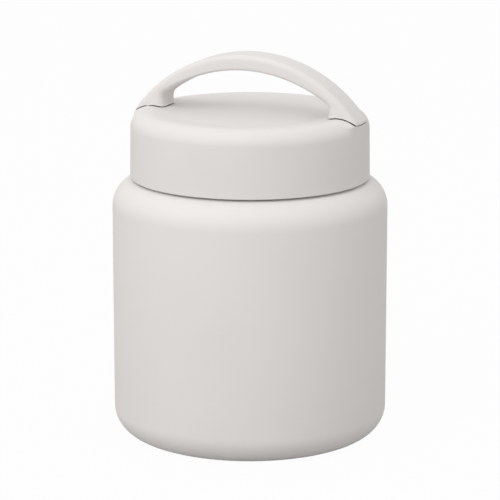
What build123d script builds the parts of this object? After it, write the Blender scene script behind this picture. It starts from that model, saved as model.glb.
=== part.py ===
from build123d import *
from math import atan2, sqrt, tan
import os

# Insulated food jar: a double-walled steel vacuum jar with a screw lid and a fixed arched carry handle.
# Millimetres. +Z is up, the origin is the centre of the base on the table, and the handle runs along X.

# ---------------------------------------------------------------- driving dimensions

# Jar
body_diameter = 92.0  # outside of the steel body
base_corner_radius = 9.4  # rounding between the side and the base
shoulder_height = 87.6  # table to the top of the shoulder
shoulder_corner_radius = 9.5  # rounding between the side and the shoulder
neck_height = 13.9  # shoulder to the lip of the mouth
neck_root_radius = 0.8  # bend between the shoulder and the neck
outer_sheet = 0.5  # sheet thickness of the outer shell and the base plates
inner_sheet = 0.5  # sheet thickness of the inner vessel
vacuum_gap = 5.0  # between the two side walls
neck_vacuum_gap = 0.9  # between the two necks
floor_height = 11.0  # table to the floor of the food space
inner_floor_radius = 10.0  # rounding between the floor and the side of the food space
inner_shoulder_drop = 4.0  # outer shoulder to inner shoulder
inner_shoulder_radius = 5.0
inner_neck_radius = 1.5  # bend between the inner shoulder and the mouth
lip_bend_radius = 0.6  # bend of the inner vessel where it folds over the mouth
bend_straight = 0.3  # least straight length between two bends

# Base
foot_ring_width = 12.6  # side of the body to the collar inside the foot ring
collar_height = 2.6  # height of the collar that takes the welded base plate
collar_bend_radius = 0.8
base_plate_height = 3.4  # table to the underside of the welded base plate
base_plate_rim = 2.4  # depth of its downturned rim
base_plate_bend_radius = 0.7
port_dimple_radius = 4.2
port_dimple_depth = 1.4
port_radius = 1.0  # evacuation hole
port_dimple_slope = 0.7  # run of its sloping side
seal_bead_radius = 3.0
base_disc_height = 1.2  # table to the underside of the cover disc
base_disc_bend_radius = 0.9
getter_radius = 4.0
getter_height = 2.4
getter_offset = 15.0  # axis of the jar to the axis of the getter
strap_width = 4.0
strap_sheet = 0.3
strap_foot = 3.0
foil_sheet = 0.15
foil_height = 58.0
foil_base_gap = 13.0  # inner vessel's floor to the lower edge of the foil

# Lid
lid_inset = 6.0  # side of the body to the side of the lid
lid_gap = 0.7  # shoulder to the lower edge of the lid
lid_height = 21.7  # lower edge of the lid to the crest of its rim
lid_draft = 0.55  # radius that the lid's side loses over its height
lid_corner_radius = 5.5
lid_edge_radius = 0.5
cover_wall = 2.2  # at the side
cover_top_wall = 1.8
dish_depth = 2.6  # crest of the rim to the floor of the dish
dish_inset = 6.5  # side of the lid at the crest to the inner edge of the rim
dish_slope_run = 5.5  # width of the dish's sloping side
dish_edge_radius = 3.0
dish_floor_radius = 12.0
weld_ledge = 1.0  # ledge inside the cover that the liner is welded to
cover_inside_radius = 2.5

# Liner, seals and filling
liner_recess = 1.0  # lower edge of the cover to the lower edge of the liner
liner_wall = 1.4
liner_edge_radius = 0.45
thread_room = 1.3  # neck to liner, taken up by the two threads
plug_clearance = 1.0  # mouth to plug
plug_depth = 16.8  # underside of the liner's ceiling to the underside of the plug
plug_flange = 1.2  # thickness of the flange that holds the gasket up
plug_flange_inset = 0.4  # how far that flange lies inside the plug's side
groove_depth = 1.8
groove_height = 2.6
gasket_lip = 0.8  # thickness of each of the gasket's two lips at its root
gasket_lip_tip = 0.4
gasket_web = 1.4  # thickness of the gasket's ring between groove and lips
valve_hole_radius = 4.0
valve_flange_radius = 7.0
valve_button_radius = 5.6
valve_flange = 1.0
valve_edge_radius = 0.5

# Handle
handle_width = 12.0
handle_rise = 19.1  # crest of the lid's rim to the crown of the handle
handle_thickness = 5.1  # at the crown
handle_side_drop = 1.25  # crest of the rim to where the arch's outer face would meet the lid's side
handle_edge_radius = 1.8
handle_underside_radius = 1.5
leg_depth = 10.05  # lid's side at the crest of the rim to the inner face of each leg
haunch_thickness = 3.93  # of the arch at the corner where it runs into a leg
leg_bend_radius = 3.0
pad_rise = 0.1  # crest of the rim to the flat seat under each foot
pad_toe = 0.3  # how far the seat shows in front of the leg
pad_flat = 3.8  # inner end of the seat to where it starts to roll over
pad_drop = 2.4  # flat seat to its outer end at the lid's side
tenon_length = 4.0
tenon_width = 7.0
tenon_height = 1.3
tenon_toe = 1.9  # inner face of the leg to the tenon
screw_radius = 1.1
screw_bite = 2.8  # length of the screw inside the foot, above the tenon's root
screw_head_radius = 2.2
screw_head = 1.3
screw_head_rounding = 0.4
screw_boss_radius = 3.2
screw_boss = 1.8  # rim's underside to the face under the screw's head

# Clearances
running_clearance = 0.08  # ring turning in its groove
seal_clearance = 0.2  # gasket to the mouth
closing_clearance = 0.3  # lip of the mouth to the liner's ceiling
assembly_clearance = 0.1  # between pieces pushed together
hole_clearance = 0.05  # between a pin or a bead and its hole
seam_gap = 0.15  # visible joint between handle and lid

# ---------------------------------------------------------------- places that the pieces share

body_radius = body_diameter / 2
lid_radius = body_radius - lid_inset
cover_bore = lid_radius - cover_wall
liner_radius = cover_bore - assembly_clearance
liner_bore = liner_radius - liner_wall
neck_radius = liner_bore - thread_room
neck_inside = neck_radius - outer_sheet - neck_vacuum_gap
mouth_radius = neck_inside - inner_sheet
vessel_radius = body_radius - outer_sheet - vacuum_gap
plug_radius = mouth_radius - plug_clearance
groove_radius = plug_radius - groove_depth

lip_z = shoulder_height + neck_height
inner_shoulder_z = shoulder_height - outer_sheet - inner_shoulder_drop
vessel_floor_z = floor_height - inner_sheet
collar_radius = body_radius - foot_ring_width

cover_edge_z = shoulder_height + lid_gap
rim_z = cover_edge_z + lid_height
ceiling_z = lip_z + closing_clearance
ledge_z = ceiling_z + liner_wall
plug_foot_z = ceiling_z - plug_depth
groove_z = plug_foot_z + plug_flange
plug_floor_z = plug_foot_z + liner_wall
rim_underside_z = rim_z - cover_top_wall
dish_z = rim_z - dish_depth

leg_reach = lid_radius - lid_draft - leg_depth
root_z = ceiling_z  # where the legs and the seats end, inside the lid
seat_z = rim_z + pad_rise
seat_start = leg_reach - pad_toe
seat_roll = seat_start + pad_flat
seat_edge_z = seat_z - pad_drop
tenon_start = leg_reach + tenon_toe
tenon_foot_z = seat_z - tenon_height
screw_reach = tenon_start + tenon_length / 2
boss_z = rim_underside_z - screw_boss


def side_radius(z):
    """Radius of the lid's drafted side at a height, also where the side is carried on above the rim."""
    return lid_radius - lid_draft * (z - cover_edge_z) / lid_height


def within(radius, room):
    """A bend radius, limited by the room for it and for a short straight length beside the next bend."""
    return min(radius, room - bend_straight)


def sheet_turned(points, radii, sheet):
    """Sheet metal of even thickness, turned about Z. The path is one face, with the metal on its left."""
    with BuildPart() as piece:
        with BuildSketch(Plane.XZ):
            with BuildLine():
                FilletPolyline(*points, radius=radii)
                offset(amount=sheet, side=Side.LEFT)
            make_face()
        revolve(axis=Axis.Z)
    return piece.part


def solid_turned(points, radii):
    """A closed half-section turned about Z, with a bend radius for each corner."""
    with BuildPart() as piece:
        with BuildSketch(Plane.XZ):
            with BuildLine():
                FilletPolyline(*points, radius=radii, close=True)
            make_face()
        revolve(axis=Axis.Z)
    return piece.part


# ---------------------------------------------------------------- jar

def make_outer_shell():
    """Deep-drawn outer wall: foot collar, base corner, side, shoulder and neck."""
    ledge = body_radius - neck_radius
    points = [
        (collar_radius, collar_height),
        (collar_radius, 0),
        (body_radius, 0),
        (body_radius, shoulder_height),
        (neck_radius, shoulder_height),
        (neck_radius, lip_z - inner_sheet),
    ]
    radii = [
        collar_bend_radius,
        within(base_corner_radius, foot_ring_width - collar_bend_radius),
        within(shoulder_corner_radius, ledge - neck_root_radius),
        neck_root_radius,
    ]
    return sheet_turned(points, radii, outer_sheet)


def make_inner_vessel():
    """Deep-drawn food vessel, whose lip folds over the neck of the outer shell."""
    ledge = vessel_radius - neck_inside
    points = [
        (0, vessel_floor_z),
        (vessel_radius, vessel_floor_z),
        (vessel_radius, inner_shoulder_z),
        (neck_inside, inner_shoulder_z),
        (neck_inside, lip_z - inner_sheet),
        (neck_radius, lip_z - inner_sheet),
    ]
    radii = [
        inner_floor_radius,
        within(inner_shoulder_radius, ledge - inner_neck_radius),
        inner_neck_radius,
        lip_bend_radius,
    ]
    return sheet_turned(points, radii, inner_sheet)


def make_shell_base():
    """Base plate welded into the collar, with a dimple round the evacuation hole."""
    plate_radius = collar_radius - outer_sheet
    port_z = base_plate_height + port_dimple_depth
    points = [
        (port_radius, port_z),
        (port_dimple_radius - port_dimple_slope, port_z),
        (port_dimple_radius, base_plate_height),
        (plate_radius, base_plate_height),
        (plate_radius, base_plate_height - base_plate_rim),
    ]
    return sheet_turned(points, [0, 0, base_plate_bend_radius], outer_sheet)


def make_port_seal():
    """Glass bead that closes the evacuation hole from below."""
    face_z = base_plate_height + outer_sheet
    bead_z = base_plate_height + port_dimple_depth
    bead_radius = bead_z - face_z - hole_clearance
    stub_radius = port_radius - hole_clearance
    points = [
        (0, face_z),
        (seal_bead_radius, face_z),
        (seal_bead_radius, bead_z),
        (stub_radius, bead_z),
        (stub_radius, bead_z + outer_sheet),
        (0, bead_z + outer_sheet),
    ]
    return solid_turned(points, [0, bead_radius, 0, 0, 0, 0])


def make_base_disc():
    """Pressed cover disc in the foot, seated with its rim against the base plate."""
    disc_radius = collar_radius - outer_sheet - base_plate_bend_radius - assembly_clearance
    points = [
        (0, base_disc_height),
        (disc_radius, base_disc_height),
        (disc_radius, base_plate_height),
    ]
    return sheet_turned(points, [base_disc_bend_radius], outer_sheet)


def make_getter():
    """Getter pill that keeps the vacuum, lying on the base plate."""
    floor_z = base_plate_height + outer_sheet
    with BuildPart() as piece:
        with Locations((getter_offset, 0, floor_z)):
            Cylinder(getter_radius, getter_height, align=(Align.CENTER, Align.CENTER, Align.MIN))
    return piece.part


def make_getter_strap():
    """Thin strap, spot-welded at both feet, that holds the getter down."""
    floor_z = base_plate_height + outer_sheet
    half_bridge = getter_radius + assembly_clearance
    top_z = floor_z + getter_height
    points = [
        (-half_bridge - strap_sheet - strap_foot, floor_z + strap_sheet),
        (-half_bridge - strap_sheet, floor_z + strap_sheet),
        (-half_bridge - strap_sheet, top_z + strap_sheet),
        (half_bridge + strap_sheet, top_z + strap_sheet),
        (half_bridge + strap_sheet, floor_z + strap_sheet),
        (half_bridge + strap_sheet + strap_foot, floor_z + strap_sheet),
    ]
    side = Plane(origin=(getter_offset, 0, 0), x_dir=(0, 1, 0), z_dir=(1, 0, 0))
    with BuildPart() as piece:
        with BuildSketch(side):
            with BuildLine():
                Polyline(*points)
                offset(amount=strap_sheet, side=Side.RIGHT)
            make_face()
        extrude(amount=strap_width / 2, both=True)
    return piece.part


def make_radiation_foil():
    """Copper foil wrapped round the inner vessel, inside the vacuum."""
    foil_z = vessel_floor_z + foil_base_gap
    with BuildPart() as piece:
        with BuildSketch(Plane.XY.offset(foil_z)):
            Circle(vessel_radius + hole_clearance + foil_sheet)
            Circle(vessel_radius + hole_clearance, mode=Mode.SUBTRACT)
        extrude(amount=foil_height)
    return piece.part


# ---------------------------------------------------------------- lid

def seat_outline(lift):
    """Side view of one foot's seat, raised by a gap: flat, then rolled over to the side, and solid below."""
    edge_z = seat_edge_z + lift
    edge = (side_radius(edge_z), edge_z)
    beyond = lid_radius + handle_width
    with BuildSketch(Plane.XZ) as outline:
        with BuildLine():
            Polyline((seat_start, root_z), (seat_start, seat_z + lift), (seat_roll, seat_z + lift))
            TangentArc((seat_roll, seat_z + lift), edge, tangent=(1, 0))
            Polyline(edge, (beyond, edge_z), (beyond, root_z), (seat_start, root_z))
        make_face()
    return outline.sketch


def side_envelope():
    """Everything inside the lid's drafted side, carried on up past the crown of the handle."""
    top_z = rim_z + handle_rise + handle_thickness
    points = [(0, cover_edge_z), (lid_radius, cover_edge_z), (side_radius(top_z), top_z), (0, top_z)]
    return solid_turned(points, [0, 0, 0, 0])


def arch(reach):
    """Arch of the handle with rounded edges, whose legs, with inner faces at reach, carry on into the lid."""
    crown_z = rim_z + handle_rise
    rise = handle_rise + handle_side_drop
    arc_radius = (side_radius(rim_z - handle_side_drop) ** 2 + rise**2) / (2 * rise)
    arc_centre_z = crown_z - arc_radius
    root_reach = sqrt(arc_radius**2 - (root_z - arc_centre_z) ** 2)
    leg_z = arc_centre_z + sqrt((arc_radius - haunch_thickness) ** 2 - reach**2)
    with BuildPart() as piece:
        with BuildSketch(Plane.XZ):
            with BuildLine():
                ThreePointArc((-root_reach, root_z), (0, crown_z), (root_reach, root_z))
                Polyline((root_reach, root_z), (reach, root_z), (reach, leg_z))
                ThreePointArc((reach, leg_z), (0, crown_z - handle_thickness), (-reach, leg_z))
                Polyline((-reach, leg_z), (-reach, root_z), (-root_reach, root_z))
            make_face()
        extrude(amount=handle_width / 2, both=True)
        inner_corners = piece.edges().filter_by(Axis.Y).group_by(Axis.Z)[-1]
        fillet(inner_corners, leg_bend_radius)
        flank_edges = piece.faces().filter_by(Axis.Y).edges()
        long_edges = flank_edges - flank_edges.group_by(Axis.Z)[0]
        outer_edges = long_edges.group_by(SortBy.LENGTH)[-1]
        fillet(outer_edges, handle_edge_radius)
        fillet(long_edges - outer_edges, handle_underside_radius)
    return piece.part


def at_both_feet():
    """Places on the axis of each handle screw, at table height."""
    return PolarLocations(screw_reach, 2)


def make_lid_cover():
    """Moulded outer cover: drafted side, rounded rim, dished top, and a seat with a socket for each foot."""
    rim_inner = side_radius(rim_z) - dish_inset
    dish_radius = rim_inner - dish_slope_run
    half_bend = tan(atan2(dish_depth, dish_slope_run) / 2)
    outer_points = [
        (0, cover_edge_z),
        (lid_radius, cover_edge_z),
        (side_radius(rim_z), rim_z),
        (rim_inner, rim_z),
        (dish_radius, dish_z),
        (0, dish_z),
    ]
    corner_radius = within(lid_corner_radius, dish_inset - dish_edge_radius * half_bend)
    outer_form = solid_turned(
        outer_points, [0, lid_edge_radius, corner_radius, dish_edge_radius, dish_floor_radius, 0]
    )
    wall_inside = cover_bore - weld_ledge
    hollow_points = [
        (0, cover_edge_z),
        (cover_bore, cover_edge_z),
        (cover_bore, ledge_z),
        (wall_inside, ledge_z),
        (wall_inside, rim_underside_z),
        (rim_inner - cover_top_wall * half_bend, rim_underside_z),
        (dish_radius - cover_top_wall * half_bend, dish_z - cover_top_wall),
        (0, dish_z - cover_top_wall),
    ]
    hollow = solid_turned(hollow_points, [0, 0, 0, 0, cover_inside_radius, 0, dish_floor_radius, 0])
    below_seat = extrude(seat_outline(0), amount=handle_width, both=True)
    seat = arch(leg_reach - pad_toe) & side_envelope() & below_seat
    with BuildPart() as inside:
        add(hollow)
        with at_both_feet():
            with Locations((0, 0, boss_z)):
                Cylinder(
                    screw_boss_radius,
                    rim_z - boss_z,
                    align=(Align.CENTER, Align.CENTER, Align.MIN),
                    mode=Mode.SUBTRACT,
                )
    with BuildPart() as piece:
        add(outer_form)
        add(seat)
        add(Rotation(0, 0, 180) * seat)
        add(inside.part, mode=Mode.SUBTRACT)
        with at_both_feet():
            with Locations((0, 0, tenon_foot_z)):
                Box(
                    tenon_length + 2 * assembly_clearance,
                    tenon_width + 2 * assembly_clearance,
                    handle_rise,
                    align=(Align.CENTER, Align.CENTER, Align.MIN),
                    mode=Mode.SUBTRACT,
                )
            with Locations((0, 0, boss_z)):
                Cylinder(
                    screw_radius + assembly_clearance,
                    handle_rise,
                    align=(Align.CENTER, Align.CENTER, Align.MIN),
                    mode=Mode.SUBTRACT,
                )
    return piece.part


def make_handle():
    """Moulded carry handle: the arch above the seam, with a tenon and a screw hole in each foot."""
    below_seam = extrude(seat_outline(seam_gap), amount=handle_width, both=True)
    with BuildPart() as cut_away:
        add(below_seam)
        add(Rotation(0, 0, 180) * below_seam)
        with at_both_feet():
            with Locations((0, 0, tenon_foot_z)):
                Box(
                    tenon_length,
                    tenon_width,
                    handle_rise,
                    align=(Align.CENTER, Align.CENTER, Align.MIN),
                    mode=Mode.SUBTRACT,
                )
    with BuildPart() as piece:
        add(arch(leg_reach) & side_envelope())
        add(cut_away.part, mode=Mode.SUBTRACT)
        with at_both_feet():
            with Locations((0, 0, tenon_foot_z)):
                Cylinder(
                    screw_radius + hole_clearance,
                    tenon_height + screw_bite + assembly_clearance,
                    align=(Align.CENTER, Align.CENTER, Align.MIN),
                    mode=Mode.SUBTRACT,
                )
    return piece.part


def make_handle_screws():
    """Two pan-head screws, from under the rim up through the seats into the feet."""
    with BuildPart() as piece:
        with at_both_feet():
            with Locations((0, 0, boss_z)):
                Cylinder(screw_head_radius, screw_head, align=(Align.CENTER, Align.CENTER, Align.MAX))
                Cylinder(
                    screw_radius,
                    seat_z + screw_bite - boss_z,
                    align=(Align.CENTER, Align.CENTER, Align.MIN),
                )
        lower_rims = piece.edges().filter_by(GeomType.CIRCLE).group_by(Axis.Z)[0]
        fillet(lower_rims, screw_head_rounding)
    return piece.part


def make_lid_liner():
    """Moulded liner: threaded skirt, ceiling over the mouth, and a plug with a groove and a valve hole."""
    skirt_z = cover_edge_z + liner_recess
    cup_radius = plug_radius - liner_wall
    waist_radius = groove_radius - liner_wall
    waist_z = groove_z + groove_height + liner_wall
    points = [
        (liner_radius, skirt_z),
        (liner_radius, ledge_z),
        (cup_radius, ledge_z),
        (cup_radius, waist_z),
        (waist_radius, waist_z),
        (waist_radius, plug_floor_z),
        (valve_hole_radius, plug_floor_z),
        (valve_hole_radius, plug_foot_z),
        (plug_radius - plug_flange_inset, plug_foot_z),
        (plug_radius - plug_flange_inset, groove_z),
        (groove_radius, groove_z),
        (groove_radius, groove_z + groove_height),
        (plug_radius, groove_z + groove_height),
        (plug_radius, ceiling_z),
        (liner_bore, ceiling_z),
        (liner_bore, skirt_z),
    ]
    soft = liner_edge_radius
    radii = [soft, 0, 0, 0, 0, 0, 0, 0, soft, 0, 0, 0, soft, soft, soft, soft]
    return solid_turned(points, radii)


def make_lid_gasket():
    """Silicone ring in the plug's groove, with two lips that wipe the mouth."""
    ring_inside = groove_radius + running_clearance
    web_radius = ring_inside + gasket_web
    lip_radius = mouth_radius - seal_clearance
    top_z = groove_z + groove_height
    points = [
        (ring_inside, groove_z),
        (web_radius, groove_z),
        (lip_radius, groove_z + gasket_lip - gasket_lip_tip),
        (lip_radius, groove_z + gasket_lip),
        (web_radius, groove_z + gasket_lip),
        (web_radius, top_z - gasket_lip),
        (lip_radius, top_z - gasket_lip_tip),
        (lip_radius, top_z),
        (ring_inside, top_z),
    ]
    return solid_turned(points, [0] * len(points))


def make_vent_valve():
    """Silicone valve button, snapped through the plug's floor, that lets air in over cooling food."""
    neck = valve_hole_radius - hole_clearance
    points = [
        (0, plug_foot_z - valve_flange),
        (valve_flange_radius, plug_foot_z - valve_flange),
        (valve_flange_radius, plug_foot_z),
        (neck, plug_foot_z),
        (neck, plug_floor_z),
        (valve_button_radius, plug_floor_z),
        (valve_button_radius, plug_floor_z + valve_flange),
        (0, plug_floor_z + valve_flange),
    ]
    return solid_turned(points, [0, valve_edge_radius, 0, 0, 0, 0, valve_edge_radius, 0])


def make_lid_insulation():
    """Foam filling of the plug, from its floor to the underside of the dish, hollowed over the valve."""
    cup_radius = plug_radius - liner_wall - assembly_clearance
    waist_radius = groove_radius - liner_wall - assembly_clearance
    waist_z = groove_z + groove_height + liner_wall + assembly_clearance
    top_z = dish_z - cover_top_wall - assembly_clearance
    pocket_radius = valve_button_radius + assembly_clearance
    pocket_z = plug_floor_z + valve_flange + assembly_clearance
    collar = min(screw_reach - screw_boss_radius - assembly_clearance, cup_radius)
    points = [
        (0, pocket_z),
        (pocket_radius, pocket_z),
        (pocket_radius, plug_floor_z),
        (waist_radius, plug_floor_z),
        (waist_radius, waist_z),
        (cup_radius, waist_z),
        (cup_radius, ledge_z),
        (collar, ledge_z),
        (collar, top_z),
        (0, top_z),
    ]
    return solid_turned(points, [0] * len(points))


# ---------------------------------------------------------------- one file for each piece

pieces = {
    "outer_shell": make_outer_shell,
    "inner_vessel": make_inner_vessel,
    "shell_base": make_shell_base,
    "port_seal": make_port_seal,
    "base_disc": make_base_disc,
    "getter": make_getter,
    "getter_strap": make_getter_strap,
    "radiation_foil": make_radiation_foil,
    "lid_cover": make_lid_cover,
    "handle": make_handle,
    "handle_screws": make_handle_screws,
    "lid_liner": make_lid_liner,
    "lid_gasket": make_lid_gasket,
    "vent_valve": make_vent_valve,
    "lid_insulation": make_lid_insulation,
}

os.makedirs("parts", exist_ok=True)
for name, make in pieces.items():
    export_step(make(), f"parts/{name}.step")
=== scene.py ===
from math import atan2, copysign, cos, hypot, pi, radians, sin, sqrt, tan

import bmesh
import bpy
from mathutils import Matrix, Vector


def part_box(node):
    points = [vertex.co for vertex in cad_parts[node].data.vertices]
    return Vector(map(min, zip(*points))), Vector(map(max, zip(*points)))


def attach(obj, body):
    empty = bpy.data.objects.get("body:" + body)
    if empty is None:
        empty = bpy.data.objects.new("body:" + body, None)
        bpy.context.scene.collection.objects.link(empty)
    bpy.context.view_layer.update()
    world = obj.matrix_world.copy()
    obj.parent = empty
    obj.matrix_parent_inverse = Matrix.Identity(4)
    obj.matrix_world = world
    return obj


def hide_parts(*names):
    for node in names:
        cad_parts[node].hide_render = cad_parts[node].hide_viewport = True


# Insulated food jar: a double-walled steel jar with a powder-coated body, and a moulded screw lid that
# carries a fixed arched handle. Metres, in the frame of the CAD model; sizes of a section are in millimetres.

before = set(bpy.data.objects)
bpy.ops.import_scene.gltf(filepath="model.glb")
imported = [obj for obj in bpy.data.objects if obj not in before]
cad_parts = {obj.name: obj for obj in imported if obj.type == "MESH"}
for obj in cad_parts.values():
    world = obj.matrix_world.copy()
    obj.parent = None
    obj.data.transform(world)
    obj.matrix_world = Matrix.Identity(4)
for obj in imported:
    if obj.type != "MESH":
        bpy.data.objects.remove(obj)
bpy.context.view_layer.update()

# ---------------------------------------------------------------- outer shell
# Deep-drawn steel wall with a rounded base corner, a straight side and a rounded shoulder, matte powder
# coated outside. The coat stops just above the neck's root. The neck is bare, with a rolled two-start thread.

mm = 0.001
crease = radians(32)  # faces that meet at more than this have a sharp edge between them
round_steps = 10  # divisions of a rounded corner
weld = 1e-3 * mm  # vertices nearer to each other than this become one
slack = 0.01  # tolerance in millimetres of a test of where something lies


def half_section(corners, closed=True):
    """Outline of a half-section in the XZ plane, from (radius, height, rounding) corners in millimetres."""
    bm = bmesh.new()
    places = [Vector((radius, 0, height)) * mm for radius, height, rounding in corners]
    outline = [bm.verts.new(place) for place in places]
    ends = (outline[0], outline[-1])
    bm.faces.new(outline)
    for i, vert in enumerate(outline):
        rounding = corners[i][2]
        if rounding:
            before = places[i - 1] - places[i]
            after = places[(i + 1) % len(places)] - places[i]
            run = rounding * mm * tan((pi - before.angle(after)) / 2)
            bmesh.ops.bevel(
                bm,
                geom=[vert],
                offset=run,
                affect="VERTICES",
                segments=round_steps,
                profile=0.5,
                material=-1,
            )
    bmesh.ops.delete(bm, geom=bm.faces[:], context="FACES_ONLY")
    if not closed:
        bm.edges.remove(bm.edges.get(ends))
    on_axis = [edge for edge in bm.edges if all(vert.co.x < weld for vert in edge.verts)]
    bmesh.ops.delete(bm, geom=on_axis, context="EDGES")
    return bm


def edges_within(bm, low, high):
    """Edges of a half-section whose ends both lie in a box of (radius, height) corners in millimetres."""

    def inside(vert):
        radius = vert.co.x / mm
        height = vert.co.z / mm
        return low[0] - slack < radius < high[0] + slack and low[1] - slack < height < high[1] + slack

    return [edge for edge in bm.edges if all(inside(vert) for vert in edge.verts)]


def turn(bm, sectors=((360, 256),)):
    """Turns a half-section round Z, in sectors of (degrees, steps), with the first centred on the X axis."""
    start = Matrix.Rotation(-radians(sectors[0][0]) / 2, 3, "Z")
    bmesh.ops.rotate(bm, verts=bm.verts[:], cent=(0, 0, 0), matrix=start)
    ring = bm.verts[:] + bm.edges[:]
    for degrees, steps in sectors:
        turned = bmesh.ops.spin(
            bm,
            geom=ring,
            cent=(0, 0, 0),
            axis=(0, 0, 1),
            angle=radians(degrees),
            steps=steps,
            use_merge=False,
        )
        ring = turned["geom_last"]
    bmesh.ops.remove_doubles(bm, verts=bm.verts[:], dist=weld)
    bmesh.ops.recalc_face_normals(bm, faces=bm.faces[:])


def thicken(bm, sheet):
    """Gives an open skin a thickness in millimetres. Its sign says to which side of the skin it grows."""
    bmesh.ops.solidify(bm, geom=bm.faces[:], thickness=sheet * mm)
    bmesh.ops.recalc_face_normals(bm, faces=bm.faces[:])


def make_piece(bm, name, materials, body, slot, *nodes):
    """The finished mesh as an object that rides on a body and stands for these CAD nodes."""
    for face in bm.faces:
        face.smooth = True
    for edge in bm.edges:
        edge.smooth = edge.calc_face_angle(0) < crease
    mesh = bpy.data.meshes.new(name)
    bm.to_mesh(mesh)
    bm.free()
    for material in materials:
        mesh.materials.append(material)
    piece = bpy.data.objects.new(name, mesh)
    bpy.context.scene.collection.objects.link(piece)
    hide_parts(*nodes)
    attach(piece, body)


def linear(hex_colour):
    """An sRGB hex colour as the linear colour that a socket takes."""
    shares = [int(hex_colour[i : i + 2], 16) / 255 for i in (1, 3, 5)]
    return [share / 12.92 if share <= 0.04045 else ((share + 0.055) / 1.055) ** 2.4 for share in shares] + [1]


def add_node(owner, kind, settings=None, links=None):
    """Adds a shader node to a material or world, with values for its attributes or sockets, and links."""
    node = owner.node_tree.nodes.new("ShaderNode" + kind)
    for name, value in (settings or {}).items():
        if isinstance(name, int) or name in node.inputs:
            node.inputs[name].default_value = value
        else:
            setattr(node, name, value)
    for name, socket in (links or {}).items():
        owner.node_tree.links.new(socket, node.inputs[name])
    return node


def start_material(name, settings):
    """A new material, its Principled shader and its object coordinates."""
    material = bpy.data.materials.new(name)
    material.use_nodes = True
    shader = material.node_tree.nodes["Principled BSDF"]
    for socket, value in settings.items():
        shader.inputs[socket].default_value = value
    return material, shader, add_node(material, "TexCoord").outputs["Object"]


def finish_surface(material, shader, pattern, depth, rough_range):
    """Gives the shader a bump of a depth in millimetres and a range of roughness, both from one pattern."""
    bump = add_node(material, "Bump", {"Strength": 1.0, "Distance": depth * mm}, {"Height": pattern})
    material.node_tree.links.new(bump.outputs["Normal"], shader.inputs["Normal"])
    settings = {"To Min": rough_range[0], "To Max": rough_range[1]}
    spread = add_node(material, "MapRange", settings, {"Value": pattern})
    material.node_tree.links.new(spread.outputs["Result"], shader.inputs["Roughness"])


def mottle(material, shader, pattern, colours):
    """Lets the shader's colour drift between two tones of the same finish."""
    settings = {"data_type": "RGBA", 6: linear(colours[0]), 7: linear(colours[1])}
    blend = add_node(material, "Mix", settings, {0: pattern})
    material.node_tree.links.new(blend.outputs[2], shader.inputs["Base Color"])


coat_tones = ("#E0DDDB", "#DBD8D5")  # warm off-white


def matte_powder_coat():
    """Polyester powder coat, sprayed and baked: an even matte colour with a very fine orange peel."""
    material, shader, place = start_material("matte_powder_coat", {"Roughness": 0.7, "IOR": 1.5})
    cloud = add_node(material, "TexNoise", {"Scale": 1 / (28 * mm), "Detail": 2.0}, {"Vector": place})
    # the peel is about 0.3 mm on the real coat, and is drawn at 0.6 mm so that it shows
    settings = {"Scale": 1 / (0.6 * mm), "Detail": 3.0, "Roughness": 0.6}
    peel = add_node(material, "TexNoise", settings, {"Vector": place})
    mottle(material, shader, cloud.outputs["Fac"], coat_tones)
    finish_surface(material, shader, peel.outputs["Fac"], depth=0.012, rough_range=(0.63, 0.77))
    return material


def turned_lines(material, place, spacing):
    """Fine lines round the jar's axis, on walls and floors alike, as polishing on a lathe leaves them."""
    flat = add_node(material, "VectorMath", {"operation": "MULTIPLY", 1: (1, 1, 0)}, {0: place})
    radius = add_node(material, "VectorMath", {"operation": "LENGTH"}, {0: flat.outputs["Vector"]})
    height = add_node(material, "SeparateXYZ", {}, {"Vector": place})
    terms = {0: radius.outputs["Value"], 1: height.outputs["Z"]}
    along = add_node(material, "Math", {"operation": "ADD"}, terms)
    # a little of X and Y lets the lines fade in and out on their way round
    settings = {"operation": "SCALE", "Scale": 0.02}
    drift = add_node(material, "VectorMath", settings, {0: flat.outputs["Vector"]})
    axes = add_node(material, "SeparateXYZ", {}, {"Vector": drift.outputs["Vector"]})
    terms = {"X": axes.outputs["X"], "Y": axes.outputs["Y"], "Z": along.outputs["Value"]}
    course = add_node(material, "CombineXYZ", {}, terms)
    settings = {"Scale": 1 / (spacing * mm), "Detail": 4.0, "Roughness": 0.7}
    lines = add_node(material, "TexNoise", settings, {"Vector": course.outputs[0]})
    return lines.outputs["Fac"]


def polished_stainless():
    """Drawn stainless sheet, polished on a lathe: soft reflections, with fine lines round the axis."""
    settings = {"Metallic": 1.0, "Base Color": linear("#C9C7C3"), "Roughness": 0.28}
    material, shader, place = start_material("polished_stainless", settings)
    lines = turned_lines(material, place, spacing=0.35)
    finish_surface(material, shader, lines, depth=0.002, rough_range=(0.2, 0.36))
    return material


coat = matte_powder_coat()
drawn_stainless = polished_stainless()

body_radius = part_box("outer_shell")[1].x / mm
neck_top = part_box("outer_shell")[1].z / mm
shoulder_height = 87.6
neck_radius = 35.0
collar_radius = 33.4
collar_height = 2.6
shell_sheet = 0.5
foot_rounding = 0.8  # inner edge of the ring that the jar stands on
base_rounding = 9.4
shoulder_rounding = 9.5
neck_root_rounding = 0.8
coat_edge = 89.0  # height on the neck where the coat stops
steel_from = 5.0  # height above which the wall's inner side is bare steel
shell_middle = 50.0  # height of a point on the axis that the wall's outer side faces away from

thread_lead = 8.0  # rise in one turn, as the lid's two coupled joints have it
thread_starts = 2
thread_low = 91.4
thread_high = 98.6
thread_height = 0.8
thread_width = 2.2
thread_crest = 1.6  # a ridge's rounded profile is drawn out by this and cut off flat at its height
thread_runout = radians(28)  # each start fades in and out over this angle
neck_cuts = 56


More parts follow.
